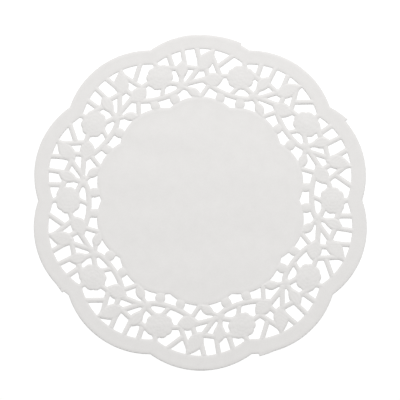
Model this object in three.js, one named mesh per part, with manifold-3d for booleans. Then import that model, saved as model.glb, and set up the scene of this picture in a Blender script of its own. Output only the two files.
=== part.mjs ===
// A round paper doily: one flat die-cut sheet with a plain middle and an openwork border.
// Millimetres, +Z up. The sheet lies on z = 0 with its middle at the origin, embossed side up.

import * as THREE from "three";
import { mergeVertices } from "three/addons/utils/BufferGeometryUtils.js";
import Module from "manifold-3d";

// Driving dimensions
const THICKNESS = 1;
const REPEATS = 10;
const ACROSS_SCALLOPS = 165;

// Scalloped edges. Each is a ring of equal arcs, one to a repeat, whose highest point lies on the
// repeat's middle line: its distance from the sheet's middle is the sum of the two sizes.
const RIM_ARC_CENTRE = 41.4;
const RIM_OUTER = { arcCentre: RIM_ARC_CENTRE, arcRadius: ACROSS_SCALLOPS / 2 - RIM_ARC_CENTRE };
const RIM_INNER = { arcCentre: RIM_ARC_CENTRE, arcRadius: 34 };
const MIDDLE = { arcCentre: 29.4, arcRadius: 22 };

// Slivers left untrimmed on the outer edge, at angles in degrees from +X: each falls away from
// its height at the step to nothing at the foot, and is rooted a little inside the edge.
const SLIVERS = [
  { step: 29, foot: 36, height: 1.4 },
  { step: 75.3, foot: 85, height: 1.05 },
  { step: 214, foot: 210.5, height: 0.95 },
  { step: 290.3, foot: 295.6, height: 1.3 },
];
const SLIVER_ROOT = 0.8;

// One repeat of the border is charted below in its own frame: +Y runs from the sheet's middle
// through the scallop's highest point, and +X to the right of that.

// Strips of even width, each laid along a smooth line through its points
const STRIPS = [
  { name: "left rim bar", width: 2.5, through: [[-15.6, 73.2], [-13.4, 66.2]] },
  { name: "bud bar", width: 2.3, through: [[-8.7, 76], [-7.1, 65.7]] },
  { name: "leaf bar", width: 2.45, through: [[-1.6, 76], [-0.1, 69.7]] },
  { name: "slanting bar", width: 2.35, through: [[16.7, 72.3], [8.4, 66.1]] },
  { name: "right leaf tie", width: 2.4, through: [[5.9, 72.2], [9.9, 61.8]] },
  { name: "left leaf tie", width: 2.45, through: [[2.7, 66.2], [4, 61.1]] },
  { name: "rose to bud", width: 2.65, through: [[-18.2, 65.7], [-11, 65.5]] },
  { name: "bud to leaf", width: 2.4, through: [[-8, 66.4], [0.8, 65.3]] },
  { name: "bud stem", width: 2.4, through: [[-9.2, 57], [-9.1, 62]] },
  { name: "upper leaf stem", width: 2.45, through: [[-7.6, 56.2], [0.2, 66.8]] },
  { name: "lower leaf stem", width: 2.5, through: [[-9, 57.3], [4, 60.6]] },
  { name: "root leaf stem", width: 2, through: [[-9, 56.5], [-5.5, 55]] },
  { name: "rose to node", width: 2.4, through: [[-15.5, 58.3], [-9, 57.4]] },
  { name: "rose to vine", width: 2.15, through: [[15.2, 52.3], [19.2, 56.7]] },
  { name: "rose to rim", width: 2.4, through: [[22.1, 69.2], [21.85, 65.5]] },
  { name: "lower leaf to rose", width: 2.35, through: [[6.5, 61.8], [15, 61.8]] },
  { name: "lower leaf to middle", width: 2.25, through: [[4.6, 57.5], [-0.1, 50.6]] },
  {
    name: "vine",
    width: 2.55,
    through: [[4.6, 57.4], [8, 55], [12.2, 52.8], [17.3, 51.1], [21.8, 50.2], [24.8, 50.5], [27, 51.6]],
  },
  { name: "post under lower leaf", width: 3.8, through: [[10.4, 53.2], [9.3, 48.6]] },
  { name: "post under rose", width: 3.9, through: [[19.8, 50.6], [19, 45.2]] },
];

// Leaves and a bud, from base to tip. Left and right are the greatest widths on the two sides of
// the midrib, belly is where they lie as a share of its length, and a fuller one has blunter ends.
const LEAVES = [
  { name: "upper leaf", base: [0.4, 64], tip: [7.9, 76.3], left: 4.45, right: 2.9, belly: 0.36, full: 0.8 },
  { name: "lower leaf", base: [0.6, 59.3], tip: [11.4, 60.6], left: 3.4, right: 4, belly: 0.53, full: 1.25 },
  { name: "bud", base: [-9.2, 58.5], tip: [-8.1, 69.8], left: 3.2, right: 2.7, belly: 0.58, full: 1 },
  { name: "root leaf", base: [-6.5, 55.8], tip: [0.8, 50.6], left: 2.4, right: 2.1, belly: 0.47, full: 1 },
];

// Round beads: one where the stems part, and two between the vine and the plain middle
const BEADS = [
  { name: "stem node", centre: [-9.4, 56.6], radius: 2 },
  { name: "bead under lower leaf", centre: [9.8, 50.5], radius: 2.2 },
  { name: "bead under rose", centre: [19.5, 47.6], radius: 2.4 },
];

// The rose: an oval whose petals are parted by dips
const ROSE = { centre: [19.93, 60.85], halfWidth: 6.8, halfHeight: 6.25, petals: 10, dip: 0.45 };

// Points along one arc of a scalloped edge, and along the other curved outlines
const ARC_STEPS = 12;
const SLIVER_STEPS = 3;
const STRIP_STEPS = 12;
const LEAF_STEPS = 7;
const BEAD_STEPS = 16;
const PETAL_STEPS = 4;

// Faces that lie this close to one plane become one face when the pieces are joined
const FLAT_WITHIN = 1e-4;

const wasm = await Module();
wasm.setup();

const repeatAngle = (2 * Math.PI) / REPEATS;
const point = ([x, y]) => new THREE.Vector2(x, y);
const polar = (reach, angle) => new THREE.Vector2(reach * Math.cos(angle), reach * Math.sin(angle));
const steps = (count) => Array.from({ length: count }, (_, i) => i / count);

// Extrudes a closed outline to the sheet's thickness, as a solid that can be joined or cut.
function prism(outline) {
  const drawn = new THREE.ExtrudeGeometry(new THREE.Shape(outline), {
    depth: THICKNESS,
    bevelEnabled: false,
  });
  drawn.deleteAttribute("normal");
  drawn.deleteAttribute("uv");
  const welded = mergeVertices(drawn);
  const mesh = new wasm.Mesh({
    numProp: 3,
    vertProperties: welded.attributes.position.array,
    triVerts: new Uint32Array(welded.index.array),
  });
  return new wasm.Manifold(mesh);
}

// Distance from the sheet's middle to a scalloped edge, at an angle from +X.
function scallopReach({ arcCentre, arcRadius }, angle) {
  const turns = (angle - Math.PI / 2) / repeatAngle;
  const offMiddleLine = (turns - Math.round(turns)) * repeatAngle;
  const across = arcCentre * Math.sin(offMiddleLine);
  return arcCentre * Math.cos(offMiddleLine) + Math.sqrt(arcRadius ** 2 - across ** 2);
}

// Outline of a scalloped edge, with a point in each notch and even steps between.
function scallopOutline(edge) {
  return steps(REPEATS * ARC_STEPS).map((share) => {
    const angle = share * 2 * Math.PI;
    return polar(scallopReach(edge, angle), angle);
  });
}

// Outline of a sliver: out along its own edge from the foot to the step, and back at its root.
function sliverOutline({ step, foot, height }) {
  const along = (share, proud) => {
    const angle = THREE.MathUtils.degToRad(foot + (step - foot) * share);
    return polar(scallopReach(RIM_OUTER, angle) + proud, angle);
  };
  const shares = [...steps(SLIVER_STEPS), 1];
  const outer = shares.map((share) => along(share, share * height));
  const root = shares.map((share) => along(share, -SLIVER_ROOT));
  return [...outer, ...root.reverse()];
}

// Outline of a strip of even width along a smooth line.
function stripOutline({ width, through }) {
  const line = new THREE.SplineCurve(through.map(point));
  const shares = [...steps(through.length > 2 ? STRIP_STEPS : 1), 1];
  const edge = (side) =>
    shares.map((share) => {
      const along = line.getTangentAt(share);
      const across = new THREE.Vector2(-along.y, along.x);
      return line.getPointAt(share).addScaledVector(across, (side * width) / 2);
    });
  return [...edge(-1), ...edge(1).reverse()];
}

// Outline of a leaf: each side swells from nothing at the base and closes again at the tip.
function leafOutline({ base, tip, left, right, belly, full }) {
  const start = point(base);
  const midrib = point(tip).sub(start);
  const across = new THREE.Vector2(-midrib.y, midrib.x).normalize();
  const skew = Math.log(0.5) / Math.log(belly);
  const at = (share, greatest) => {
    const swell = greatest * Math.sin(Math.PI * share ** skew) ** (1 / full);
    return start.clone().addScaledVector(midrib, share).addScaledVector(across, swell);
  };
  const upRight = steps(LEAF_STEPS).map((share) => at(share, -right));
  const downLeft = steps(LEAF_STEPS).map((share) => at(1 - share, left));
  return [...upRight, ...downLeft];
}

// Outline of a round bead.
function beadOutline({ centre, radius }) {
  return steps(BEAD_STEPS).map((share) => polar(radius, share * 2 * Math.PI).add(point(centre)));
}

// Outline of the rose, which starts in the dip above its middle.
function roseOutline({ centre, halfWidth, halfHeight, petals, dip }) {
  return steps(petals * PETAL_STEPS).map((share) => {
    const inset = dip * (1 - Math.abs(Math.sin(share * petals * Math.PI)));
    const angle = share * 2 * Math.PI + Math.PI / 2;
    const x = (halfWidth - inset) * Math.cos(angle);
    const y = (halfHeight - inset) * Math.sin(angle);
    return new THREE.Vector2(x, y).add(point(centre));
  });
}

// Outlines of everything in one repeat between the rim and the plain middle.
function repeatOutlines() {
  return [
    ...STRIPS.map(stripOutline),
    ...LEAVES.map(leafOutline),
    ...BEADS.map(beadOutline),
    roseOutline(ROSE),
  ];
}

// The whole sheet: the rim, the plain middle and the border's repeats, joined into one solid.
function sheet() {
  const middle = new THREE.Vector2(0, 0);
  const rim = prism(scallopOutline(RIM_OUTER)).subtract(prism(scallopOutline(RIM_INNER)));
  const pieces = [rim, prism(scallopOutline(MIDDLE)), ...SLIVERS.map(sliverOutline).map(prism)];
  for (const outline of repeatOutlines()) {
    for (let k = 0; k < REPEATS; k += 1) {
      const turned = outline.map((p) => p.clone().rotateAround(middle, k * repeatAngle));
      pieces.push(prism(turned));
    }
  }
  const joined = pieces.reduce((whole, piece) => whole.add(piece));
  return joined.asOriginal().simplify(FLAT_WITHIN);
}

// Turns a joined solid back into a geometry.
function geometryOf(solid) {
  const { vertProperties, triVerts } = solid.getMesh();
  const geometry = new THREE.BufferGeometry();
  geometry.setAttribute("position", new THREE.BufferAttribute(vertProperties, 3));
  geometry.setIndex(new THREE.BufferAttribute(triVerts, 1));
  geometry.computeVertexNormals();
  return geometry;
}

const paper = new THREE.MeshStandardMaterial({ color: 0xf4f2ef, roughness: 0.9, metalness: 0 });

const doily = new THREE.Mesh(geometryOf(sheet()), paper);
doily.name = "doily";

const part = new THREE.Group();
part.add(doily);

export default part;
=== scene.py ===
"""A round paper doily: one thin sheet, die-cut and embossed, laid flat on a pale floor.

The border is charted in millimetres in the frame of one repeat: +Y runs from the sheet's middle
through the highest point of a scallop, and +X to the right of it. The repeat is turned ten times
about the middle. Everything that Blender gets is in metres.
"""

import logging
import math
from abc import ABC, abstractmethod
from dataclasses import dataclass
from enum import Enum
from functools import cached_property
from typing import Any, TypeAlias

import bpy
import numpy as np
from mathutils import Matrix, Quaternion, Vector
from mathutils.geometry import delaunay_2d_cdt


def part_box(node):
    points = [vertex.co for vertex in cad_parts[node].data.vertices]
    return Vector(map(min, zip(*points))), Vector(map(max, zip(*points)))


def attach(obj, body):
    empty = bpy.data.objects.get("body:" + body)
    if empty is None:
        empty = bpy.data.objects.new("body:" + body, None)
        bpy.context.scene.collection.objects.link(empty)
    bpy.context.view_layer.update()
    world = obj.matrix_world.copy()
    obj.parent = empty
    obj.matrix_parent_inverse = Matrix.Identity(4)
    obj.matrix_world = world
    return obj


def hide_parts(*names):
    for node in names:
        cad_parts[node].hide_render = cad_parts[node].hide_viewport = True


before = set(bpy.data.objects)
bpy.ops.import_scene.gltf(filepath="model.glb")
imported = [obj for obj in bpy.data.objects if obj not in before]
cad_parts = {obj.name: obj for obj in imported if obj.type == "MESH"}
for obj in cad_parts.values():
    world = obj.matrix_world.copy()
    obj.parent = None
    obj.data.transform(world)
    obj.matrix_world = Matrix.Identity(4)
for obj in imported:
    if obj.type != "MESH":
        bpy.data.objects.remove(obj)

log = logging.getLogger("doily")

Array: TypeAlias = np.ndarray
Point: TypeAlias = tuple[float, float]
Colour: TypeAlias = tuple[float, float, float, float]

MM = 0.001
WHITE = (1, 1, 1, 1)
REPEATS = 10
REPEAT_ANGLE = 2 * math.pi / REPEATS


# Sums that several classes share

def fade(low: float, high: float, value: Array) -> Array:
    """Rises smoothly from 0 where the value is low or under to 1 where it is high or over."""
    share = np.clip((value - low) / (high - low), 0, 1)
    return share * share * (3 - 2 * share)


def line_at(offset: Array, width: float) -> Array:
    """Height of a round line of that half-width, 1 on the line itself and 0 well away from it."""
    return np.exp(-((offset / width) ** 2))


def waves(phase: Array) -> Array:
    """Even waves between 0 and 1, with a crest at each whole number."""
    return 0.5 + 0.5 * np.cos(2 * np.pi * phase)


def turned(x: Array, y: Array, angle: Array | float) -> tuple[Array, Array]:
    """Turns points about the sheet's middle by an angle from +Y towards +X."""
    cos, sin = np.cos(angle), np.sin(angle)
    return x * cos + y * sin, y * cos - x * sin


def depth_in(outline: Array, x: Array, y: Array) -> Array:
    """Distance of points to a closed outline.

    Args:
        outline: Corners of the outline, one a row.
        x: Places along +X.
        y: Places along +Y.

    Returns:
        The distance, positive inside the outline and negative outside.
    """
    nearest = np.full(x.shape, np.inf)
    inside = np.zeros(x.shape, bool)
    for (ax, ay), (bx, by) in zip(outline, np.roll(outline, -1, axis=0)):
        run_x, run_y = bx - ax, by - ay
        off_x, off_y = x - ax, y - ay
        share = np.clip((off_x * run_x + off_y * run_y) / (run_x**2 + run_y**2), 0, 1)
        nearest = np.minimum(nearest, (off_x - share * run_x) ** 2 + (off_y - share * run_y) ** 2)
        if run_y:
            inside ^= ((ay > y) != (by > y)) & (off_x < run_x * off_y / run_y)
    return np.where(inside, 1, -1) * np.sqrt(nearest)


# The scalloped edges

@dataclass(frozen=True)
class ScallopEdge:
    """A closed edge of equal arcs, one to a repeat.

    Its highest points lie on the repeats' middle lines, the sum of the two sizes from the middle.
    """

    arc_centre: float
    arc_radius: float

    @cached_property
    def notch(self) -> float:
        """Distance of the notches between the arcs from the middle."""
        return float(self.reach(np.array([REPEAT_ANGLE / 2]))[0])

    def reach(self, angle: Array) -> Array:
        """Distance from the middle to the edge.

        Args:
            angle: Angles from +Y, each in its own repeat or in any other.

        Returns:
            The distance at each angle.
        """
        off = angle - np.round(angle / REPEAT_ANGLE) * REPEAT_ANGLE
        across = self.arc_centre * np.sin(off)
        return self.arc_centre * np.cos(off) + np.sqrt(self.arc_radius**2 - across**2)

    def depth(self, x: Array, y: Array) -> Array:
        """Depth inside the edge of points in the frames of their own repeats."""
        in_arc = self.arc_radius - np.hypot(x, y - self.arc_centre)
        return np.maximum(in_arc, self.notch - np.hypot(x, y))


@dataclass(frozen=True)
class Sliver:
    """A sliver left untrimmed on the outer edge.

    It falls away from its height at the step to nothing at the foot. Both are angles in degrees
    from +X towards +Y.
    """

    step: float
    foot: float
    height: float

    def proud(self, angle: Array) -> Array:
        """How far the sliver stands beyond the edge.

        Args:
            angle: Angles from +Y towards +X, in radians.

        Returns:
            The distance beyond the edge at each angle.
        """
        degrees = (90 - np.degrees(angle)) % 360
        share = (degrees - self.foot) / (self.step - self.foot)
        return np.where((share >= 0) & (share <= 1), self.height * share, 0.0)


# The figures of the border, and how each is embossed

class Figure(ABC):
    """One embossed figure of the border, in the frame of its repeat.

    A figure that covers hides the embossing of what it overlaps, and any other is joined with it.
    """

    name: str
    covers = True

    @abstractmethod
    def outline(self) -> Array:
        """Draws the figure.

        Returns:
            The corners of its closed outline, one a row.
        """

    @abstractmethod
    def relief(self, x: Array, y: Array, depth: Array) -> Array:
        """Embosses the figure.

        Args:
            x: Places along +X.
            y: Places along +Y.
            depth: Depth of those points inside the figure's outline.

        Returns:
            The height of each point above the paper around the figure.
        """


def spline(points: Array, shares: Array) -> Array:
    """Places along a smooth line through points.

    Args:
        points: The points, one a row.
        shares: Shares of the line's length in points, from 0 to 1.

    Returns:
        The places, one a row.
    """
    spot = shares * (len(points) - 1)
    first = np.minimum(spot.astype(int), len(points) - 2)
    t = (spot - first)[:, None]
    before, start = points[np.maximum(first - 1, 0)], points[first]
    end, after = points[first + 1], points[np.minimum(first + 2, len(points) - 1)]
    leave, arrive = (end - before) / 2, (after - start) / 2
    cubic = 2 * (start - end) + leave + arrive
    square = 3 * (end - start) - 2 * leave - arrive
    return ((cubic * t + square) * t + leave) * t + start


class Emboss(Enum):
    """How a strip is embossed."""

    ROUND = "rounded"
    RIBS = "ribbed across"
    ROPE = "twisted like a cord"


@dataclass(frozen=True)
class Strip(Figure):
    """A strip of even width along a smooth line."""

    name: str
    width: float
    through: tuple[Point, ...]
    emboss: Emboss = Emboss.ROUND

    covers = False
    RISE = 0.1
    RIB_PITCH = 1.15
    RIB_SHARE = 0.45
    SLANT = 0.8
    CURVE_STEPS = 24

    @cached_property
    def line(self) -> Array:
        """The strip's centre line, as points one a row."""
        steps = self.CURVE_STEPS if len(self.through) > 2 else 1
        return spline(np.array(self.through), np.linspace(0, 1, steps + 1))

    def outline(self) -> Array:
        """Draws the strip up its right side and down its left.

        Returns:
            The corners, one a row.
        """
        run = np.gradient(self.line, axis=0)
        run /= np.linalg.norm(run, axis=1)[:, None]
        across = np.stack([-run[:, 1], run[:, 0]], axis=1) * self.width / 2
        return np.concatenate([self.line - across, (self.line + across)[::-1]])

    def along_and_across(self, x: Array, y: Array) -> tuple[Array, Array]:
        """Places in the strip's own directions.

        Args:
            x: Places along +X.
            y: Places along +Y.

        Returns:
            The distance along the centre line, and the signed distance from it.
        """
        along, across = np.zeros(x.shape), np.full(x.shape, np.inf)
        walked = 0.0
        for start, end in zip(self.line, self.line[1:]):
            length = float(np.hypot(*(end - start)))
            run_x, run_y = (end - start) / length
            off_x, off_y = x - start[0], y - start[1]
            here = off_x * run_x + off_y * run_y
            beyond = here - np.clip(here, 0, length)
            away = off_y * run_x - off_x * run_y
            closer = np.hypot(away, beyond) < np.abs(across)
            along = np.where(closer, walked + here, along)
            across = np.where(closer, np.copysign(np.hypot(away, beyond), away), across)
            walked += length
        return along, across

    def relief(self, x: Array, y: Array, depth: Array) -> Array:
        """Embosses a rounded strip, with ribs or turns where it has them.

        Args:
            x: Places along +X.
            y: Places along +Y.
            depth: Depth of those points inside the outline.

        Returns:
            The height of each point.
        """
        round_top = fade(0, self.width / 2, depth)
        if self.emboss is Emboss.ROUND:
            return self.RISE * round_top
        along, across = self.along_and_across(x, y)
        slant = self.SLANT if self.emboss is Emboss.ROPE else 0.0
        ribs = waves((along + slant * across) / self.RIB_PITCH)
        return self.RISE * round_top * (1 - self.RIB_SHARE * (1 - ribs))


class Veins(Enum):
    """What is embossed on a leaf."""

    BLADE = "a midrib with side veins"
    PETALS = "a closed bud: petals that rise from a calyx"


@dataclass(frozen=True)
class Leaf(Figure):
    """A leaf or bud from base to tip, with its greatest widths on the two sides of the midrib.

    The belly is where those widths lie as a share of the length, and a fuller leaf has blunter
    ends.
    """

    name: str
    base: Point
    tip: Point
    left: float
    right: float
    belly: float
    full: float
    veins: Veins = Veins.BLADE

    STEPS = 28
    RISE = 0.1
    ROLL = 1.1
    INSET = (0.15, 0.8)
    MIDRIB, MIDRIB_WIDTH, MIDRIB_TAPER = 0.06, 0.32, 0.6
    VEIN, VEIN_PITCH, VEIN_SLANT = 0.05, 1.75, 0.85
    PETAL, PETALS_ACROSS, LEAST_WIDTH = 0.065, 1.5, 0.5
    PETALS_START, PETALS_END = (-0.02, 0.1), (0.75, 1)
    CALYX, CALYX_SHARE, CALYX_WAVE, CALYX_WIDTH = 0.065, 0.36, 0.05, 0.045

    @cached_property
    def axes(self) -> tuple[Array, float, Array]:
        """The midrib.

        Returns:
            Its base, its length and its direction.
        """
        start, end = np.array(self.base), np.array(self.tip)
        length = float(np.hypot(*(end - start)))
        return start, length, (end - start) / length

    def half_width(self, share: Array, greatest: Array | float) -> Array:
        """Half-width of one side of the leaf at a share of its length."""
        skew = math.log(0.5) / math.log(self.belly)
        return greatest * np.sin(np.pi * np.clip(share, 0, 1) ** skew) ** (1 / self.full)

    def outline(self) -> Array:
        """Draws the leaf up its right side from the base and down its left.

        Returns:
            The corners, one a row.
        """
        start, length, run = self.axes
        across = np.array([-run[1], run[0]])
        shares = 0.5 - 0.5 * np.cos(np.pi * np.arange(self.STEPS) / self.STEPS)
        up = start + np.outer(shares * length, run)
        right = up - np.outer(self.half_width(shares, self.right), across)
        down = start + np.outer((1 - shares) * length, run)
        left = down + np.outer(self.half_width(1 - shares, self.left), across)
        return np.concatenate([right, left])

    def relief(self, x: Array, y: Array, depth: Array) -> Array:
        """Embosses the blade with its veins, or the bud with its petals and calyx.

        Args:
            x: Places along +X.
            y: Places along +Y.
            depth: Depth of those points inside the outline.

        Returns:
            The height of each point.
        """
        start, length, run = self.axes
        along = (x - start[0]) * run[0] + (y - start[1]) * run[1]
        across = (y - start[1]) * run[0] - (x - start[0]) * run[1]
        share = along / length
        height = self.RISE * fade(0, self.ROLL, depth)
        inside = fade(*self.INSET, depth)
        if self.veins is Veins.BLADE:
            taper = 1 - self.MIDRIB_TAPER * np.clip(share, 0, 1)
            midrib = line_at(across, self.MIDRIB_WIDTH) * taper
            side = waves((along - self.VEIN_SLANT * np.abs(across)) / self.VEIN_PITCH) ** 2
            return height + inside * (self.MIDRIB * midrib + self.VEIN * side * (1 - midrib))
        width = self.half_width(share, np.where(across > 0, self.left, self.right))
        sideways = across / np.maximum(width, self.LEAST_WIDTH)
        petals = waves(self.PETALS_ACROSS * sideways)
        rim = share - self.CALYX_SHARE - self.CALYX_WAVE * (2 * petals - 1)
        calyx = line_at(rim, self.CALYX_WIDTH)
        rise, fall = fade(*self.PETALS_START, rim), fade(*self.PETALS_END, share)
        lines = self.PETAL * petals * rise * (1 - fall)
        return height + inside * (lines + self.CALYX * calyx)


@dataclass(frozen=True)
class Bead(Figure):
    """A round bead: a dome inside a raised ring."""

    name: str
    centre: Point
    radius: float

    STEPS = 48
    ROLL = 0.5
    BASE, RISE, RING, RING_WIDTH = 0.05, 0.16, 0.05, 0.22
    DOME_SHARE, RING_SHARE = 0.62, 0.8

    def outline(self) -> Array:
        """Draws the bead.

        Returns:
            The points round it, one a row.
        """
        angle = 2 * np.pi * np.arange(self.STEPS) / self.STEPS
        ring = self.radius * np.stack([np.cos(angle), np.sin(angle)], axis=1)
        return ring + np.array(self.centre)

    def relief(self, x: Array, y: Array, depth: Array) -> Array:
        """Embosses the dome and the ring around it.

        Args:
            x: Places along +X.
            y: Places along +Y.
            depth: Depth of those points inside the outline.

        Returns:
            The height of each point.
        """
        off = np.hypot(x - self.centre[0], y - self.centre[1])
        dome = np.sqrt(np.clip(1 - (off / (self.DOME_SHARE * self.radius)) ** 2, 0, 1))
        ring = line_at(off - self.RING_SHARE * self.radius, self.RING_WIDTH)
        height = self.BASE + (self.RISE - self.BASE) * dome + self.RING * ring
        return fade(0, self.ROLL, depth) * height


@dataclass(frozen=True)
class PetalRing:
    """One ring of the rose's petals, sized as shares of the rose."""

    petals: int
    reach: float
    dip: float
    rise: float
    turn: float


@dataclass(frozen=True)
class Rose(Figure):
    """An open rose: an oval with dips between its petals, and rings of petals one on another."""

    name: str
    centre: Point
    half_width: float
    half_height: float
    petals: int
    dip: float

    STEPS_PER_PETAL = 12
    ROLL = 0.8
    STEP = 0.42
    LIP, LIP_WIDTH, LIP_ROLL = 0.3, 0.28, 0.2
    CREASE, CREASE_WIDTH, CREASE_ROLL = 0.04, 0.3, 0.4
    UNDER_ROLL = 0.5
    RINGS = (
        PetalRing(petals=10, reach=1.0, dip=0.067, rise=0.07, turn=0.0),
        PetalRing(petals=8, reach=0.72, dip=0.09, rise=0.06, turn=0.3),
        PetalRing(petals=6, reach=0.47, dip=0.08, rise=0.055, turn=0.9),
        PetalRing(petals=4, reach=0.22, dip=0.05, rise=0.05, turn=0.2),
    )

    def outline(self) -> Array:
        """Draws the rose, from the dip above its middle.

        Returns:
            The points round it, one a row.
        """
        share = np.arange(self.petals * self.STEPS_PER_PETAL) / self.petals / self.STEPS_PER_PETAL
        inset = self.dip * (1 - np.abs(np.sin(share * self.petals * np.pi)))
        angle = share * 2 * np.pi + np.pi / 2
        x = (self.half_width - inset) * np.cos(angle)
        y = (self.half_height - inset) * np.sin(angle)
        return np.stack([x, y], axis=1) + np.array(self.centre)

    def relief(self, x: Array, y: Array, depth: Array) -> Array:
        """Embosses the rings of petals, each with a lip, parted by creases.

        Args:
            x: Places along +X.
            y: Places along +Y.
            depth: Depth of those points inside the outline.

        Returns:
            The height of each point.
        """
        size = (self.half_width + self.half_height) / 2
        u = (x - self.centre[0]) / self.half_width
        v = (y - self.centre[1]) / self.half_height
        off, angle = np.hypot(u, v), np.arctan2(v, u) - np.pi / 2
        height = np.zeros(x.shape)
        for ring, above in zip(self.RINGS, (*self.RINGS[1:], None)):
            swing = np.sin((angle + ring.turn) * ring.petals / 2)
            inside = size * (ring.reach - ring.dip * (1 - np.abs(swing)) - off)
            lip = self.LIP * line_at(inside - self.STEP, self.LIP_WIDTH)
            height += ring.rise * (fade(0, self.STEP, inside) + lip * fade(0, self.LIP_ROLL, inside))
            under = fade(0, self.UNDER_ROLL, size * (off - above.reach)) if above else 0.0
            crease = line_at(swing * off * size * 2 / ring.petals, self.CREASE_WIDTH)
            height -= self.CREASE * crease * under * fade(0, self.CREASE_ROLL, inside)
        return height * fade(0, self.ROLL, depth)


# The chart of one repeat

RIM_ARC_CENTRE = 41.4
RIM_INNER = ScallopEdge(arc_centre=RIM_ARC_CENTRE, arc_radius=34)
MIDDLE = ScallopEdge(arc_centre=29.4, arc_radius=22)

SLIVERS = (
    Sliver(step=29, foot=36, height=1.4),
    Sliver(step=75.3, foot=85, height=1.05),
    Sliver(step=214, foot=210.5, height=0.95),
    Sliver(step=290.3, foot=295.6, height=1.3),
)

VINE_POINTS = ((4.6, 57.4), (8, 55), (12.2, 52.8), (17.3, 51.1), (21.8, 50.2), (24.8, 50.5), (27, 51.6))

STRIPS = (
    Strip("left rim bar", 2.5, ((-15.6, 73.2), (-13.4, 66.2)), Emboss.RIBS),
    Strip("bud bar", 2.3, ((-8.7, 76), (-7.1, 65.7)), Emboss.RIBS),
    Strip("leaf bar", 2.45, ((-1.6, 76), (-0.1, 69.7)), Emboss.RIBS),
    Strip("slanting bar", 2.35, ((16.7, 72.3), (8.4, 66.1)), Emboss.RIBS),
    Strip("right leaf tie", 2.4, ((5.9, 72.2), (9.9, 61.8)), Emboss.ROPE),
    Strip("left leaf tie", 2.45, ((2.7, 66.2), (4, 61.1))),
    Strip("rose to bud", 2.65, ((-18.2, 65.7), (-11, 65.5))),
    Strip("bud to leaf", 2.4, ((-8, 66.4), (0.8, 65.3))),
    Strip("bud stem", 2.4, ((-9.2, 57), (-9.1, 62)), Emboss.ROPE),
    Strip("upper leaf stem", 2.45, ((-7.6, 56.2), (0.2, 66.8)), Emboss.ROPE),
    Strip("lower leaf stem", 2.5, ((-9, 57.3), (4, 60.6)), Emboss.ROPE),
    Strip("root leaf stem", 2, ((-9, 56.5), (-5.5, 55))),
    Strip("rose to node", 2.4, ((-15.5, 58.3), (-9, 57.4)), Emboss.ROPE),
    Strip("rose to vine", 2.15, ((15.2, 52.3), (19.2, 56.7)), Emboss.ROPE),
    Strip("rose to rim", 2.4, ((22.1, 69.2), (21.85, 65.5))),
    Strip("lower leaf to rose", 2.35, ((6.5, 61.8), (15, 61.8))),
    Strip("lower leaf to middle", 2.25, ((4.6, 57.5), (-0.1, 50.6)), Emboss.ROPE),
    Strip("vine", 2.55, VINE_POINTS, Emboss.ROPE),
    Strip("post under lower leaf", 3.8, ((10.4, 53.2), (9.3, 48.6))),
    Strip("post under rose", 3.9, ((19.8, 50.6), (19, 45.2))),
)

LEAVES = (
    Leaf("upper leaf", (0.4, 64), (7.9, 76.3), left=4.45, right=2.9, belly=0.36, full=0.8),
    Leaf("lower leaf", (0.6, 59.3), (11.4, 60.6), left=3.4, right=4, belly=0.53, full=1.25),
    Leaf("bud", (-9.2, 58.5), (-8.1, 69.8), 3.2, 2.7, belly=0.58, full=1, veins=Veins.PETALS),
    Leaf("root leaf", (-6.5, 55.8), (0.8, 50.6), left=2.4, right=2.1, belly=0.47, full=1),
)

BEADS = (
    Bead("stem node", (-9.4, 56.6), radius=2),
    Bead("bead under lower leaf", (9.8, 50.5), radius=2.2),
    Bead("bead under rose", (19.5, 47.6), radius=2.4),
)

ROSE = Rose("rose", (19.93, 60.85), half_width=6.8, half_height=6.25, petals=10, dip=0.45)


# The whole pattern, judged at any point

@dataclass(frozen=True)
class Survey:
    """What the sheet is like at some points, in millimetres."""

    depth: Array
    relief: Array
    middle_depth: Array


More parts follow.
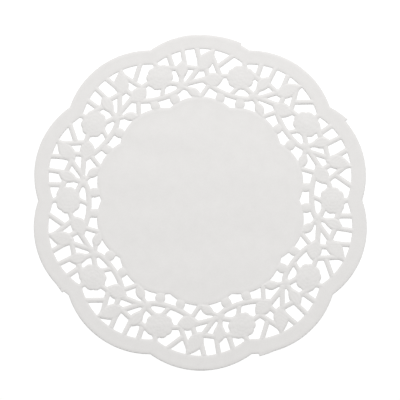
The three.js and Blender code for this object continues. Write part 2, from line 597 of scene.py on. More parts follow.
@dataclass(frozen=True)
class Pattern:
    """The sheet's cut and embossed pattern: rim, plain middle and the border between them."""

    across: float
    figures: tuple[Figure, ...] = (*STRIPS, *LEAVES, *BEADS, ROSE)
    slivers: tuple[Sliver, ...] = SLIVERS

    CORNER_SHARPNESS = 6.0
    NEAR, FAR = 1.6, 9.0
    GROUND, EDGE_LIP, EDGE_ROLL = 0.13, 0.08, 0.95
    RIM_FALL, RIM_FALL_WIDTH = 0.3, 2.2
    COVER_ROLL, BAND_ROLL = 0.5, 1.1
    RIM_LINES, MIDDLE_LINE = (0.9, 1.75), 1.7
    BAND_LINE, BAND_LINE_WIDTH = 0.035, 0.28

    @cached_property
    def rim_outer(self) -> ScallopEdge:
        """The sheet's outer edge, without its slivers."""
        return ScallopEdge(RIM_ARC_CENTRE, self.across / 2 - RIM_ARC_CENTRE)

    @cached_property
    def outlines(self) -> list[tuple[Figure, Array]]:
        """Each figure of the border with its outline."""
        return [(figure, figure.outline()) for figure in self.figures]

    def survey(self, x: Array, y: Array) -> Survey:
        """Judges the paper at points of the sheet.

        Args:
            x: Places along +X.
            y: Places along +Y.

        Returns:
            The depth inside the paper, the height of its relief, and the depth inside the middle.
        """
        angle = np.arctan2(x, y)
        own_x, own_y = turned(x, y, -np.round(angle / REPEAT_ANGLE) * REPEAT_ANGLE)
        edge = self.rim_outer.depth(own_x, own_y)
        outer = edge + sum(sliver.proud(angle) for sliver in self.slivers)
        rim = np.minimum(outer, -RIM_INNER.depth(own_x, own_y))
        middle = MIDDLE.depth(own_x, own_y)
        total, relief = self.border(own_x, own_y)
        total += self.weight(rim) + self.weight(middle)
        relief *= 1 - fade(0, self.BAND_ROLL, np.maximum(rim, middle))
        relief += self.band_lines(edge, rim, middle)
        depth = np.log(total) / self.CORNER_SHARPNESS
        fall = self.RIM_FALL * (1 - fade(0, self.RIM_FALL_WIDTH, outer))
        ground = self.GROUND * fade(self.EDGE_LIP, self.EDGE_ROLL, depth) * (1 - fall)
        return Survey(depth, ground + relief, middle)

    def border(self, x: Array, y: Array) -> tuple[Array, Array]:
        """Judges the border's figures at points, each in the frame of its own repeat.

        Args:
            x: Places along +X.
            y: Places along +Y.

        Returns:
            The figures' weight in the soft union, and the height of their embossing.
        """
        total, relief = np.zeros(x.shape), np.zeros(x.shape)
        turns = [turned(x, y, k * REPEAT_ANGLE) for k in (-1, 0, 1)]
        for figure, outline in self.outlines:
            low, high = outline.min(axis=0) - self.NEAR, outline.max(axis=0) + self.NEAR
            for near_x, near_y in turns:
                close = (near_x > low[0]) & (near_x < high[0]) & (near_y > low[1]) & (near_y < high[1])
                if not close.any():
                    continue
                fx, fy = near_x[close], near_y[close]
                depth = depth_in(outline, fx, fy)
                total[close] += self.weight(depth)
                height = figure.relief(fx, fy, depth)
                if figure.covers:
                    cover = fade(0, self.COVER_ROLL, depth)
                    relief[close] += cover * (height - relief[close])
                else:
                    relief[close] = np.maximum(relief[close], height)
        return total, relief

    def weight(self, depth: Array) -> Array:
        """Share of one figure in the soft union of all, which rounds the gaps' corners."""
        return np.exp(self.CORNER_SHARPNESS * np.clip(depth, -self.FAR, self.FAR))

    def band_lines(self, outer: Array, rim: Array, middle: Array) -> Array:
        """Height of the fine lines that follow the rim's outer edge and bound the plain middle.

        Args:
            outer: Depth inside the sheet's outer edge.
            rim: Depth inside the rim.
            middle: Depth inside the middle.

        Returns:
            The height at each point.
        """
        lines = sum(line_at(outer - place, self.BAND_LINE_WIDTH) for place in self.RIM_LINES)
        bound = line_at(middle - self.MIDDLE_LINE, self.BAND_LINE_WIDTH)
        return self.BAND_LINE * (np.where(rim > 0, lines, 0.0) + bound)


# The cut lines

Side: TypeAlias = tuple[int, int, int]


def closed_contours(xs: Array, ys: Array, value: Array) -> list[Array]:
    """Closed lines along which a sampled value crosses zero.

    Args:
        xs: Places of the samples' columns along +X.
        ys: Places of their rows along +Y.
        value: The samples, one row for each of ys.

    Returns:
        The corners of each closed line, one a row. Lines that leave the samples are left out.
    """
    above = value > 0
    links: dict[Side, list[Side]] = {}
    square = above[:-1, :-1], above[:-1, 1:], above[1:, 1:], above[1:, :-1]
    mixed = (square[0] != square[1]) | (square[1] != square[2]) | (square[2] != square[3])
    for row, column in np.argwhere(mixed).tolist():
        sides = (0, row, column), (1, row, column + 1), (0, row + 1, column), (1, row, column)
        corners = [bool(corner[row, column]) for corner in square]
        crossed = [side for side, a, b in zip(sides, corners, corners[1:] + corners[:1]) if a != b]
        if len(crossed) > 2:
            centre = value[row : row + 2, column : column + 2].mean() > 0
            if centre != corners[0]:
                crossed = crossed[-1:] + crossed[:-1]
        for one, other in zip(crossed[::2], crossed[1::2]):
            links.setdefault(one, []).append(other)
            links.setdefault(other, []).append(one)

    def crossing(side: Side) -> Point:
        """Finds where the value is zero on one side of a square of samples.

        Args:
            side: Whether it runs along +Y, and the row and column of its first sample.

        Returns:
            The place.
        """
        upright, row, column = side
        end = (row + upright, column + 1 - upright)
        first, last = value[row, column], value[end]
        share = first / (first - last)
        x = xs[column] + share * (xs[end[1]] - xs[column])
        return x, ys[row] + share * (ys[end[0]] - ys[row])

    found, seen = [], set()
    for start in links:
        walk, side = [], start
        while side is not None and side not in seen:
            seen.add(side)
            walk.append(side)
            side = next((other for other in links[side] if other not in seen), None)
        if len(walk) > 2 and walk[0] in links[walk[-1]]:
            found.append(np.array([crossing(side) for side in walk]))
    return found


def area_of(loop: Array) -> float:
    """Area inside a closed line, negative where the line runs clockwise."""
    after = np.roll(loop, -1, axis=0)
    return float((loop[:, 0] * after[:, 1] - after[:, 0] * loop[:, 1]).sum() / 2)


def spaced(loop: Array, pitch: float, turn_pitch: float = math.inf) -> Array:
    """Points round a closed line, spaced evenly but closer where the line turns.

    Args:
        loop: Corners of the line, one a row.
        pitch: Distance between points where the line is straight.
        turn_pitch: Angle, in radians, that the line turns between points where it is sharpest.

    Returns:
        The points, one a row.
    """
    closed = np.vstack([loop, loop[:1]])
    run = np.diff(closed, axis=0)
    heading = np.arctan2(run[:, 1], run[:, 0])
    turn = np.abs((np.roll(heading, -1) - heading + np.pi) % (2 * np.pi) - np.pi)
    turn = (turn + np.roll(turn, 1)) / 2
    walked = np.concatenate([[0], np.cumsum(np.hypot(*run.T) / pitch + turn / turn_pitch)])
    count = round(walked[-1])
    places = np.arange(count) * walked[-1] / count
    return np.stack([np.interp(places, walked, closed[:, k]) for k in (0, 1)], axis=1)


@dataclass(frozen=True)
class CutLines:
    """The lines along which the die cuts the sheet, in millimetres.

    The paper lies on the left of each line. Cut paper is a little ragged, so the points stand off
    the line at random by up to the fray.
    """

    pattern: Pattern
    pitch: float = 0.53
    fray: float = 0.015
    seed: int = 11

    SAMPLE = 0.1
    SMOOTH = 0.17
    TURN_PITCH = math.radians(30)
    MARGIN = 4.0
    LEAST_GAP = 1.0
    STEP_WIDTH, STEP_CLEAR = 0.04, 4

    def gaps(self) -> list[Array]:
        """Finds the gaps of one repeat and turns them to all.

        Returns:
            The points round each gap, one a row.
        """
        half = REPEAT_ANGLE / 2
        outer = self.pattern.rim_outer
        side = 2 * RIM_INNER.notch * math.sin(half)
        low, high = MIDDLE.notch * math.cos(half) - self.MARGIN, outer.reach(np.zeros(1))[0]
        xs, ys = np.arange(-side, side, self.SAMPLE), np.arange(low, high, self.SAMPLE)
        found = []
        for loop in closed_contours(xs, ys, self.pattern.survey(*np.meshgrid(xs, ys)).depth):
            centre = loop.mean(axis=0)
            if abs(area_of(loop)) < self.LEAST_GAP or not -half <= math.atan2(*centre) < half:
                continue
            loop = spaced(loop if area_of(loop) < 0 else loop[::-1], self.SMOOTH)
            loop = spaced(loop, self.pitch, self.TURN_PITCH)
            for k in range(REPEATS):
                found.append(np.stack(turned(loop[:, 0], loop[:, 1], k * REPEAT_ANGLE), axis=1))
        return found

    def outer_edge(self) -> Array:
        """Draws the outer edge, with a step where each sliver begins.

        Returns:
            The points round it, one a row.
        """
        outer = self.pattern.rim_outer
        count = round(2 * np.pi * outer.reach(np.zeros(1))[0] / self.pitch)
        angles = 2 * np.pi * np.arange(count) / count
        step_angle = self.STEP_WIDTH / outer.notch
        steps = np.radians([90 - sliver.step for sliver in self.pattern.slivers]) % (2 * np.pi)
        clear = np.abs(angles[:, None] - steps).min(axis=1) > step_angle * self.STEP_CLEAR
        angles = np.sort(np.concatenate([angles[clear], steps - step_angle, steps + step_angle]))
        reach = outer.reach(angles) + sum(sliver.proud(angles) for sliver in self.pattern.slivers)
        return np.stack([reach * np.sin(angles), reach * np.cos(angles)], axis=1)[::-1]

    def loops(self) -> list[Array]:
        """Gives all the cut lines their fray.

        Returns:
            The points of each line, one a row, the outer edge first.
        """
        random = np.random.default_rng(self.seed)
        lines = [self.outer_edge(), *self.gaps()]
        return [line + random.uniform(-self.fray, self.fray, line.shape) for line in lines]


# The nets of triangles of the two faces

@dataclass(frozen=True)
class Layer:
    """One face of the sheet as a net of triangles, in millimetres.

    Its first points are those of the cut lines, in their order.
    """

    points: Array
    triangles: Array
    survey: Survey


@dataclass(frozen=True)
class Fineness:
    """How fine a net of triangles is.

    Its points lie on a three-way lattice whose pitch doubles from level to level. The border has
    all points of its level, and those of a finer one only where the relief stands off the straight
    line between their neighbours by more than the bend. Each level of the middle reaches from its
    edge to a depth.
    """

    pitch: float
    bend: float
    border_level: int
    middle_levels: tuple[tuple[int, float], ...]


@dataclass(frozen=True)
class Net:
    """Lays a net of triangles over the sheet, finer where the relief bends more."""

    pattern: Pattern
    loops: list[Array]
    fineness: Fineness

    OUTSIDE = -1.0
    EDGE_CLEARANCE = 0.5
    WELD = 1e-6

    def lattice(self) -> tuple[Array, Array, Array, Array]:
        """Lays the finest lattice over the whole sheet.

        Returns:
            The points' columns, rows, and places along +X and +Y.
        """
        pitch = self.fineness.pitch
        half = int(self.pattern.across / pitch)
        rows, columns = np.mgrid[-half : half + 1, -half : half + 1]
        x = (columns + rows / 2) * pitch
        y = rows * pitch * math.sqrt(3) / 2
        return columns, rows, x, y

    def inner_points(self) -> Array:
        """Picks the lattice's points that the net keeps.

        Returns:
            The points, one a row.
        """
        columns, rows, x, y = self.lattice()
        on_sheet = np.hypot(x, y) < self.pattern.across / 2 + self.fineness.pitch
        survey = self.pattern.survey(x[on_sheet], y[on_sheet])
        depth, middle = np.full(x.shape, self.OUTSIDE), np.full(x.shape, self.OUTSIDE)
        relief = np.zeros(x.shape)
        depth[on_sheet] = survey.depth
        relief[on_sheet] = survey.relief
        middle[on_sheet] = survey.middle_depth
        keep = self.at_level(columns, rows, self.fineness.border_level) & (middle < 0)
        for level in range(self.fineness.border_level):
            step = 2**level
            own = self.at_level(columns, rows, level)
            odd_column, odd_row = columns // step % 2 == 1, rows // step % 2 == 1
            for down, right, between in (
                (0, step, odd_column & ~odd_row),
                (step, 0, ~odd_column & odd_row),
                (step, -step, odd_column & odd_row),
            ):
                ahead = np.roll(relief, (down, right), (0, 1))
                behind = np.roll(relief, (-down, -right), (0, 1))
                bent = np.abs(relief - (ahead + behind) / 2) > self.fineness.bend * step
                keep |= own & between & bent
        for level, most_depth in self.fineness.middle_levels:
            keep |= self.at_level(columns, rows, level) & (middle >= 0) & (middle < most_depth)
        keep &= depth > self.EDGE_CLEARANCE * self.fineness.pitch
        return np.stack([x[keep], y[keep]], axis=1)

    @staticmethod
    def at_level(columns: Array, rows: Array, level: int) -> Array:
        """Whether points belong to a lattice whose pitch is 2 to the level times the finest."""
        return (columns % 2**level == 0) & (rows % 2**level == 0)

    def layer(self) -> Layer:
        """Joins the cut lines and the inner points into triangles, and leaves the gaps out.

        Returns:
            The face of the sheet.
        """
        edge_points = np.concatenate(self.loops)
        points = np.concatenate([edge_points, self.inner_points()])
        starts = np.cumsum([0] + [len(loop) for loop in self.loops])
        cuts = [
            (start + k, start + (k + 1) % len(loop))
            for start, loop in zip(starts.tolist(), self.loops)
            for k in range(len(loop))
        ]
        found = delaunay_2d_cdt([Vector(p) for p in points], cuts, [], 0, self.WELD, False)
        if len(found[0]) != len(points):
            raise ValueError("the cut lines cross or touch each other")
        triangles = self.paper_side(points, np.array(found[2]), np.array(cuts))
        a, b, c = (points[triangles[:, k]] for k in range(3))
        facing_down = np.cross(b - a, c - a) < 0
        triangles[facing_down] = triangles[facing_down][:, ::-1]
        return Layer(points, triangles, self.pattern.survey(points[:, 0], points[:, 1]))

    def paper_side(self, points: Array, triangles: Array, cuts: Array) -> Array:
        """The triangles that no cut parts from the sheet's middle.

        Args:
            points: The net's points, one a row.
            triangles: Three points' numbers a row.
            cuts: Two points' numbers a row, for each stretch of the cut lines.

        Returns:
            The rows of triangles that are paper.
        """
        sides = np.sort(triangles[:, [[0, 1], [1, 2], [2, 0]]].reshape(-1, 2), axis=1)
        keys = sides[:, 0] * len(points) + sides[:, 1]
        cuts = np.sort(cuts, axis=1)
        order = np.argsort(keys, kind="stable")
        twins = keys[order][1:] == keys[order][:-1]
        open_side = twins & ~np.isin(keys[order][1:], cuts[:, 0] * len(points) + cuts[:, 1])
        one, other = order[:-1][open_side] // 3, order[1:][open_side] // 3
        centres = points[triangles].mean(axis=1)
        reached = np.zeros(len(triangles), bool)
        reached[np.hypot(*centres.T).argmin()] = True
        while True:
            spread = reached[one] != reached[other]
            if not spread.any():
                return triangles[reached]
            reached[one[spread]] = reached[other[spread]] = True


# How the sheet lies on the floor

@dataclass(frozen=True)
class Fold:
    """A long, soft rise of the sheet, or a dip where its height is negative.

    Its way is an angle in degrees from +X towards +Y.
    """

    centre: Point
    way: float
    half_length: float
    half_width: float
    height: float

    def rise(self, x: Array, y: Array) -> Array:
        """How far the fold lifts the sheet at points."""
        along, across = turned(x - self.centre[0], y - self.centre[1], math.radians(self.way))
        return self.height * line_at(along, self.half_length) * line_at(across, self.half_width)


FOLDS = (
    Fold((-24, 23), way=-10, half_length=18, half_width=6, height=-0.14),
    Fold((-14, 31), way=-6, half_length=20, half_width=6, height=0.12),
    Fold((-34, 11), way=0, half_length=17, half_width=9, height=0.18),
    Fold((-22, -2), way=-4, half_length=14, half_width=5, height=-0.12),
    Fold((-10, -23), way=4, half_length=22, half_width=9, height=-0.25),
    Fold((21, -16), way=0, half_length=14, half_width=8, height=-0.25),
    Fold((18, 15.5), way=38, half_length=9, half_width=2.6, height=0.08),
    Fold((24, 11), way=0, half_length=15, half_width=7, height=0.16),
    Fold((38, -22), way=-20, half_length=8, half_width=4, height=-0.12),
    Fold((4, 0), way=10, half_length=9, half_width=4, height=-0.08),
)


@dataclass(frozen=True)
class Swell:
    """An even wave of the sheet, whose way is an angle in radians from +X towards +Y."""

    height: float
    length: float
    way: float
    phase: float

    def rise(self, x: Array, y: Array) -> Array:
        """How far the swell lifts the sheet at points."""
        along = x * np.cos(self.way) + y * np.sin(self.way)
        return self.height * np.sin(2 * np.pi * along / self.length + self.phase)


SWELLS = (
    Swell(height=0.03, length=71, way=0.4, phase=0.3),
    Swell(height=0.02, length=43, way=1.7, phase=2),
    Swell(height=0.015, length=29, way=2.6, phase=4.4),
)


@dataclass(frozen=True)
class Lay:
    """How high the sheet lies over the floor, in millimetres.

    The plain middle is bowed a little and has soft folds, both from its edge inwards, and the
    border is lifted unevenly.
    """

    bow: float = 0.18
    bow_reach: float = 16.0
    folds: tuple[Fold, ...] = FOLDS
    folds_reach: float = 8.0
    lift: float = 0.065
    lift_reach: tuple[float, float] = (-2.0, 9.0)
    swells: tuple[Swell, ...] = SWELLS

    def height(self, x: Array, y: Array, middle_depth: Array) -> Array:
        """Height of the sheet's underside over the floor.

        Args:
            x: Places along +X.
            y: Places along +Y.
            middle_depth: Depth of the points inside the plain middle.

        Returns:
            The height at each point.
        """
        lifted = self.lift + sum(swell.rise(x, y) for swell in self.swells)
        lifted *= 1 - fade(*self.lift_reach, middle_depth)
        bowed = self.bow * fade(0, self.bow_reach, middle_depth)
        folded = fade(0, self.folds_reach, middle_depth) * sum(f.rise(x, y) for f in self.folds)
        return lifted + bowed + folded


# The materials

Value: TypeAlias = "Signal | float"


@dataclass(frozen=True)
class Signal:
    """A value in a material: arithmetic on it adds the Math nodes that work it out."""

    bench: "Bench"
    socket: bpy.types.NodeSocket

    def __add__(self, other: Value) -> "Signal":
        """Adds a value."""
        return self.bench.maths("ADD", self, other)

    def __sub__(self, other: Value) -> "Signal":
        """Takes a value away."""
        return self.bench.maths("SUBTRACT", self, other)

    def __rsub__(self, other: Value) -> "Signal":
        """Takes this value away from another."""
        return self.bench.maths("SUBTRACT", other, self)

    def __mul__(self, other: Value) -> "Signal":
        """Multiplies by a value."""
        return self.bench.maths("MULTIPLY", self, other)

    def __abs__(self) -> "Signal":
        """The value without its sign."""
        return self.bench.maths("ABSOLUTE", self)

    __radd__ = __add__
    __rmul__ = __mul__

    def kept(self) -> "Signal":
        """The value, kept between 0 and 1."""
        return self.bench.maths("ADD", self, 0.0, use_clamp=True)


class Bench:
    """The nodes of one material."""

    MIX_SHARE, MIX_LOW, MIX_HIGH, MIX_RESULT = 0, 6, 7, 2

    def __init__(self, name: str) -> None:
        """Makes an empty material.

        Args:
            name: The material's name.
        """
        self.material = bpy.data.materials.new(name)
        self.material.use_nodes = True
        self.tree = self.material.node_tree
        self.tree.nodes.clear()

    def node(self, kind: str, settings: dict[str, Any], inputs: dict[str | int, Any]) -> bpy.types.Node:
        """Adds a node.

        Args:
            kind: The node's type, without the words that all shader nodes share.
            settings: Properties of the node, which are set first.
            inputs: Values, signals or sockets for its inputs, by name or number.

        Returns:
            The node.
        """
        made = self.tree.nodes.new("ShaderNode" + kind)
        for name, value in settings.items():
            setattr(made, name, value)
        for name, value in inputs.items():
            value = value.socket if isinstance(value, Signal) else value
            if isinstance(value, bpy.types.NodeSocket):
                self.tree.links.new(value, made.inputs[name])
            else:
                made.inputs[name].default_value = value
        return made

    def maths(self, operation: str, *values: Value, use_clamp: bool = False) -> Signal:
        """Adds a Math node.

        Args:
            operation: What the node does.
            values: The one or two values that it does it to.
            use_clamp: Whether the result is kept between 0 and 1.

        Returns:
            The result.
        """
        settings = {"operation": operation, "use_clamp": use_clamp}
        made = self.node("Math", settings, dict(enumerate(values)))
        return Signal(self, made.outputs[0])

    def noise(
        self, place: bpy.types.NodeSocket, size: float, detail: float, wander: float = 0.0
    ) -> Signal:
        """Adds soft noise, mostly between 0.25 and 0.75, with largest patches of a size."""
        inputs = {"Vector": place, "Scale": 1 / size, "Detail": detail, "Distortion": wander}
        return Signal(self, self.node("TexNoise", {}, inputs).outputs[0])

    def attribute(self, name: str) -> Signal:
        """Reads a value that the mesh holds at each point."""
        return Signal(self, self.node("Attribute", {"attribute_name": name}, {}).outputs["Fac"])

    def mix(self, share: Value, low: Colour, high: Colour) -> bpy.types.NodeSocket:
        """Mixes two colours by a share from 0 to 1."""
        inputs = {self.MIX_SHARE: share, self.MIX_LOW: low, self.MIX_HIGH: high}
        return self.node("Mix", {"data_type": "RGBA"}, inputs).outputs[self.MIX_RESULT]


@dataclass(frozen=True)
class PaperFinish:
    """White, uncoated paper: cloudy pulp, fine fibres, and relief that the die has pressed.

    Its colour lies between the shade, where the tone is 0, and the light, where it is 1. Lengths
    are in millimetres, and the fibres' ways are angles in radians. A detail is how many finer
    layers of noise lie on the first, and the wander draws a fibre out of its straight line.
    """

    shade: Colour = (0.75, 0.737, 0.7245, 1)
    light: Colour = (0.87, 0.857, 0.8445, 1)
    tone: float = 0.48
    cloud_tone: float = 0.42
    grain_tone: float = 0.3
    fibre_tone: float = 0.35
    # Painted shade: relief_shading_tone makes the colour lighter where the relief stands up and darker
    # in its hollows.
    relief_shading_tone: float = 0.04
    # Painted light: edge_light_tone makes the colour lighter near the cut edges.
    edge_light_tone: float = 0.07
    # The border's colour is painted a little darker than the middle's; border_darkening_tone sets how
    # much.
    border_darkening_tone: float = -0.08
    roughness: float = 0.82
    grain_roughness: float = 0.1
    relief_roughness: float = -0.12
    specular: float = 0.28
    cloud_size: float = 5.5
    cloud_detail: float = 3.0
    grain_size: float = 0.7
    grain_detail: float = 4.0
    fibre_length: float = 1.9
    fibre_width: float = 0.13
    fibre_ways: tuple[float, ...] = (0.2, 0.75, 1.45, 2.1, 2.7)
    fibre_wander: float = 0.5
    fibre_detail: float = 2.0
    fibre_sharpness: float = 9.0
    fibre_share: float = 0.6
    bump_height: float = 0.014

    RELIEF = "relief"
    EDGE = "edge"
    PRESSED = "pressed"
    FIBRE_SHIFT = (7.3, 3.1, 0.0)
    MEAN = 0.5

    def build(self) -> bpy.types.Material:
        """Makes the material.

        Returns:
            The material.
        """
        bench = Bench("paper")
        where = bench.node("TexCoord", {}, {}).outputs["Object"]
        scaled = bench.node("VectorMath", {"operation": "SCALE"}, {0: where, "Scale": 1 / MM})
        place = scaled.outputs[0]
        clouds = bench.noise(place, self.cloud_size, self.cloud_detail)
        grain = bench.noise(place, self.grain_size, self.grain_detail)
        fibres = self.fibres(bench, place)
        relief, edge = bench.attribute(self.RELIEF), bench.attribute(self.EDGE)
        pressed = bench.attribute(self.PRESSED)
        mottle, speckle = clouds - self.MEAN, grain - self.MEAN
        tone = self.tone + self.cloud_tone * mottle + self.grain_tone * speckle
        # The relief term paints light and shade into the colour: lighter on raised relief, darker in
        # its hollows.
        tone = tone + self.fibre_tone * (fibres - self.MEAN) + self.relief_shading_tone * relief
        # Painted light near the cut edges, and a darker colour painted over the border.
        tone = tone + self.edge_light_tone * edge + self.border_darkening_tone * pressed
        roughness = self.roughness + self.grain_roughness * speckle
        height = self.fibre_share * fibres + (1 - self.fibre_share) * grain
        bump = bench.node("Bump", {}, {"Height": height, "Distance": self.bump_height * MM})
        surface = bench.node(
            "BsdfPrincipled",
            {},
            {
                "Base Color": bench.mix(tone.kept(), self.shade, self.light),
                "Roughness": (roughness + self.relief_roughness * relief).kept(),
                "Specular IOR Level": self.specular,
                "Normal": bump.outputs["Normal"],
            },
        )
        bench.node("OutputMaterial", {}, {"Surface": surface.outputs[0]})
        return bench.material

    def fibres(self, bench: Bench, place: bpy.types.NodeSocket) -> Signal:
        """Adds pulp fibres that lie in several directions.

        Args:
            bench: Where the nodes are added.
            place: Where the fibres are read, in millimetres.

        Returns:
            How much fibre shows, from 0 to 1.
        """
        layers = []
        for k, way in enumerate(self.fibre_ways):
            inputs = {
                "Vector": place,
                "Location": tuple(k * shift for shift in self.FIBRE_SHIFT),
                "Rotation": (0.0, 0.0, way),
                "Scale": (self.fibre_length, self.fibre_width, self.fibre_width),
            }
            stretched = bench.node("Mapping", {"vector_type": "TEXTURE"}, inputs).outputs[0]
            noise = bench.noise(stretched, 1.0, self.fibre_detail, self.fibre_wander)
            layers.append((1 - self.fibre_sharpness * abs(noise - self.MEAN)).kept())
        total = layers[0]
        for layer in layers[1:]:
            total = bench.maths("MAXIMUM", total, layer)
        return total


@dataclass(frozen=True)
class FloorFinish:
    """A plain matt white surface, lit so well that it is white in a picture."""

    colour: Colour = (0.93, 0.93, 0.93, 1)
    roughness: float = 0.95
    specular: float = 0.1
    glow: float = 0.2

    def build(self) -> bpy.types.Material:
        """Makes the material.

        Returns:
            The material.
        """
        bench = Bench("floor")
        values = {
            "Base Color": self.colour,
            "Roughness": self.roughness,
            "Specular IOR Level": self.specular,
            "Emission Color": WHITE,
            "Emission Strength": self.glow,
        }
        surface = bench.node("BsdfPrincipled", {}, values)
        bench.node("OutputMaterial", {}, {"Surface": surface.outputs[0]})
        return bench.material


# The sheet

@dataclass(frozen=True)
class BakeMap:
    """A flat map of the sheet for baking: both faces whole, and the walls as thin skirts.

    The upper face fills most of a square of side 1, and the lower face lies beyond its corner.
    """

    across: float
    upper_middle: float = 0.366
    upper_share: float = 0.72
    lower_middle: float = 0.8
    lower_share: float = 0.38
    skirt: float = 0.3

    NAME = "OFBake"

    def places(self, upper: Array, lower: Array, loops: list[Array]) -> Array:
        """Places of all the mesh's corners on the map.

        Args:
            upper: The upper triangles' corners, in millimetres.
            lower: The lower triangles' corners.
            loops: The cut lines, each with one wall from every point to the next.

        Returns:
            The places, one a row, in the order of the faces and of their corners.
        """
        skirts = []
        for loop in loops:
            run = np.roll(loop, -1, axis=0) - np.roll(loop, 1, axis=0)
            out = np.stack([run[:, 1], -run[:, 0]], axis=1) / np.hypot(*run.T)[:, None]
            edge = loop + self.skirt * out
            after = np.roll(edge, -1, axis=0), np.roll(loop, -1, axis=0)
            skirts.append(np.stack([loop, edge, *after], axis=1))
        flat = np.concatenate([upper, np.concatenate(skirts).reshape(-1, 2)])
        face_up = self.upper_middle + flat / self.across * self.upper_share
        face_down = self.lower_middle + lower / self.across * self.lower_share
        return np.concatenate([face_up[: len(upper)], face_down, face_up[len(upper) :]])


@dataclass
class Doily:
    """The doily's one sheet of paper, built in millimetres and kept in metres.

    The reaches are depths between which two painted tones fade out: the painted light that makes
    the paper lighter near its cut edges, and the darker colour painted over the border. The relief
    that the material reads is a share of the height of tall relief, and with it the material paints
    shade into the relief's hollows.
    """

    across: float
    thickness: float = 0.12
    clearance: float = 0.01
    underside_relief: float = 0.75
    lay: Lay = Lay()
    finish: PaperFinish = PaperFinish()
    top_fineness: Fineness = Fineness(0.3, 0.0054, 2, middle_levels=((2, 4), (3, math.inf)))
    under_fineness: Fineness = Fineness(0.6, 0.06, 1, middle_levels=((1, 3), (2, math.inf)))

    NAME = "doily_paper"
    TALL = 0.35
    EDGE_LIGHT_REACH = (0, 1.2)
    BORDER_DARKENING_REACH = (-2, 6)

    @cached_property
    def pattern(self) -> Pattern:
        """The cut and embossed pattern."""
        return Pattern(self.across)

    @cached_property
    def loops(self) -> list[Array]:
        """The cut lines, the outer edge first."""
        return CutLines(self.pattern).loops()

    @property
    def flat_area(self) -> float:
        """Area of the paper, in square millimetres."""
        return sum(area_of(loop) for loop in self.loops)

    def build(self) -> bpy.types.Object:
        """Makes the sheet as one closed mesh with its material.

        Returns:
            The sheet.
        """
        figures = ", ".join(figure.name for figure in self.pattern.figures)
        log.info("each of %d repeats has: %s", REPEATS, figures)
        log.info("cut lines: %d gaps and the outer edge", len(self.loops) - 1)
        top = Net(self.pattern, self.loops, self.top_fineness).layer()
        under = Net(self.pattern, self.loops, self.under_fineness).layer()
        mesh = self.mesh(top, under)
        mesh.materials.append(self.finish.build())
        sheet = bpy.data.objects.new(self.NAME, mesh)
        bpy.context.scene.collection.objects.link(sheet)
        return sheet

    def rests(self, layer: Layer) -> Array:
        """Height at which a layer's points lie over the floor before they are embossed."""
        x, y = layer.points.T
        return self.lay.height(x, y, layer.survey.middle_depth)

    def mesh(self, top: Layer, under: Layer) -> bpy.types.Mesh:
        """Joins the two faces of the sheet along the cut lines.

        Args:
            top: The upper face.
            under: The lower face.

        Returns:
            The closed mesh, in metres.
        """
        under_z = self.rests(under) + self.underside_relief * under.survey.relief
        top_z = self.rests(top) + top.survey.relief + self.thickness
        drop = under_z.min() - self.clearance
        points = [np.column_stack([top.points, top_z]), np.column_stack([under.points, under_z])]
        points = (np.vstack(points) - (0, 0, drop)) * MM
        under_faces = under.triangles[:, ::-1]
        smooth_faces = top.triangles.tolist() + (under_faces + len(top.points)).tolist()
        faces = smooth_faces + self.walls(len(top.points)).tolist()
        mesh = bpy.data.meshes.new(self.NAME)
        mesh.from_pydata(points.tolist(), [], faces)
        mesh.polygons.foreach_set("use_smooth", np.arange(len(faces)) < len(smooth_faces))
        self.add_values(mesh, top.survey, under.survey)
        corners = top.points[top.triangles.ravel()], under.points[under_faces.ravel()]
        places = BakeMap(self.across).places(*corners, self.loops)
        mesh.uv_layers.new(name=BakeMap.NAME).uv.foreach_set("vector", places.ravel())
        mesh.update()
        log.info("sheet: %d triangles", len(smooth_faces) + 2 * (len(faces) - len(smooth_faces)))
        return mesh

    def walls(self, under_start: int) -> Array:
        """Joins the two faces' points along the cut lines.

        Args:
            under_start: Number of the lower face's first point.

        Returns:
            The four points' numbers of each wall, one wall a row.
        """
        walls, start = [], 0
        for loop in self.loops:
            here = np.arange(start, start + len(loop))
            after = np.roll(here, -1)
            walls.append(np.column_stack([here, here + under_start, after + under_start, after]))
            start += len(loop)
        return np.concatenate(walls)

    def add_values(self, mesh: bpy.types.Mesh, top: Survey, under: Survey) -> None:
        """Gives each point of the mesh the values that its material reads.

        Args:
            mesh: The sheet.
            top: What its upper points are like, which come first.
            under: What its lower points are like.
        """
        both = (top, under)
        values = {
            # The relief value also paints shade into the colour; on the lower face it is turned over,
            # so that face's hollows are painted darker.
            PaperFinish.RELIEF: [top.relief / self.TALL, 1 - under.relief / self.TALL],
            # How near a point lies to a cut edge, for the painted light there.
            PaperFinish.EDGE: [1 - fade(*self.EDGE_LIGHT_REACH, face.depth) for face in both],
            # How far a point lies in the border, whose colour is painted darker.
            PaperFinish.PRESSED: [1 - fade(*self.BORDER_DARKENING_REACH, face.middle_depth) for face in both],
        }
        for name, value in values.items():
            attribute = mesh.attributes.new(name, "FLOAT", "POINT")
            attribute.data.foreach_set("value", np.concatenate(value).astype(np.float32))


# The floor, the light and the camera

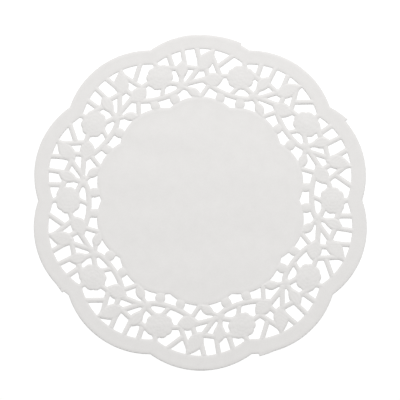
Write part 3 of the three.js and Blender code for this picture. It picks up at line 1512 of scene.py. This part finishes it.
@dataclass(frozen=True)
class Studio:
    """A pale floor, soft light from above the top of the picture, and the camera.

    Sides and distances are in metres, lens and sensor as on a real camera, and angles in degrees.
    The camera looks at the aim, a place on the floor in millimetres.
    """

    floor_side: float = 6.0
    light_side: float = 0.97
    light_distance: float = 1.35
    light_elevation: float = 52.0
    light_turn: float = 7.0
    light_power: float = 13.75
    sky: float = 0.435

    camera_elevation: float = 80.07
    camera_turn: float = -6.1
    camera_roll: float = 5.96
    camera_distance: float = 0.9934
    camera_lens: float = 184.62
    camera_sensor: float = 36.0
    aim: tuple[float, float] = (-0.23, 0.07)

    def build(self) -> None:
        """Sets the floor, the light and the camera up."""
        self.floor()
        self.light()
        self.camera()

    def floor(self) -> None:
        """Lays the floor."""
        half = self.floor_side / 2
        corners = [(-half, -half, 0), (half, -half, 0), (half, half, 0), (-half, half, 0)]
        mesh = bpy.data.meshes.new("floor")
        mesh.from_pydata(corners, [], [(0, 1, 2, 3)])
        mesh.materials.append(FloorFinish().build())
        floor = bpy.data.objects.new("floor", mesh)
        bpy.context.scene.collection.objects.link(floor)

    def light(self) -> None:
        """Adds the large soft light and the even light of the room."""
        scene = bpy.context.scene
        lamp = bpy.data.lights.new("soft light", "AREA")
        lamp.shape, lamp.size, lamp.energy = "SQUARE", self.light_side, self.light_power
        light = bpy.data.objects.new("soft light", lamp)
        light.location = self.way(self.light_elevation, self.light_turn) * self.light_distance
        light.rotation_euler = light.location.to_track_quat("Z", "Y").to_euler()
        scene.collection.objects.link(light)
        scene.world = bpy.data.worlds.new("room")
        scene.world.use_nodes = True
        background = scene.world.node_tree.nodes["Background"]
        background.inputs["Color"].default_value = WHITE
        background.inputs["Strength"].default_value = self.sky
        scene.view_settings.view_transform = "Standard"

    @staticmethod
    def way(elevation: float, turn: float) -> Vector:
        """Direction out from the sheet's middle.

        Args:
            elevation: Angle over the floor, in degrees.
            turn: Angle from +Y towards +X, in degrees.

        Returns:
            The direction, of length 1.
        """
        rise, turn = math.radians(elevation), math.radians(turn)
        level = math.cos(rise)
        return Vector((level * math.sin(turn), level * math.cos(turn), math.sin(rise)))

    def camera(self) -> None:
        """Adds the camera that looks at the sheet as in the picture."""
        scene = bpy.context.scene
        lens = bpy.data.cameras.new("camera")
        lens.lens, lens.sensor_width = self.camera_lens, self.camera_sensor
        camera = bpy.data.objects.new("camera", lens)
        back = self.way(self.camera_elevation, 180 - self.camera_turn)
        camera.location = Vector((*self.aim, 0)) * MM + back * self.camera_distance
        roll = Quaternion((0, 0, 1), math.radians(self.camera_roll))
        camera.rotation_euler = (back.to_track_quat("Z", "Y") @ roll).to_euler()
        scene.collection.objects.link(camera)
        scene.camera = camera


def main() -> None:
    """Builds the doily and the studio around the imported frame."""
    logging.basicConfig(level=logging.INFO, format="%(name)s: %(message)s")
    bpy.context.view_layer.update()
    low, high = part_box("doily")
    width, length = high.x - low.x, high.y - low.y
    Studio().build()
    doily = Doily(across=length / MM)
    sheet = doily.build()
    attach(sheet, "root")
    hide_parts("doily")
    doily.flat_area * MM**2
    log.info("%s is built", sheet.name)


if __name__ == "__main__":
    main()
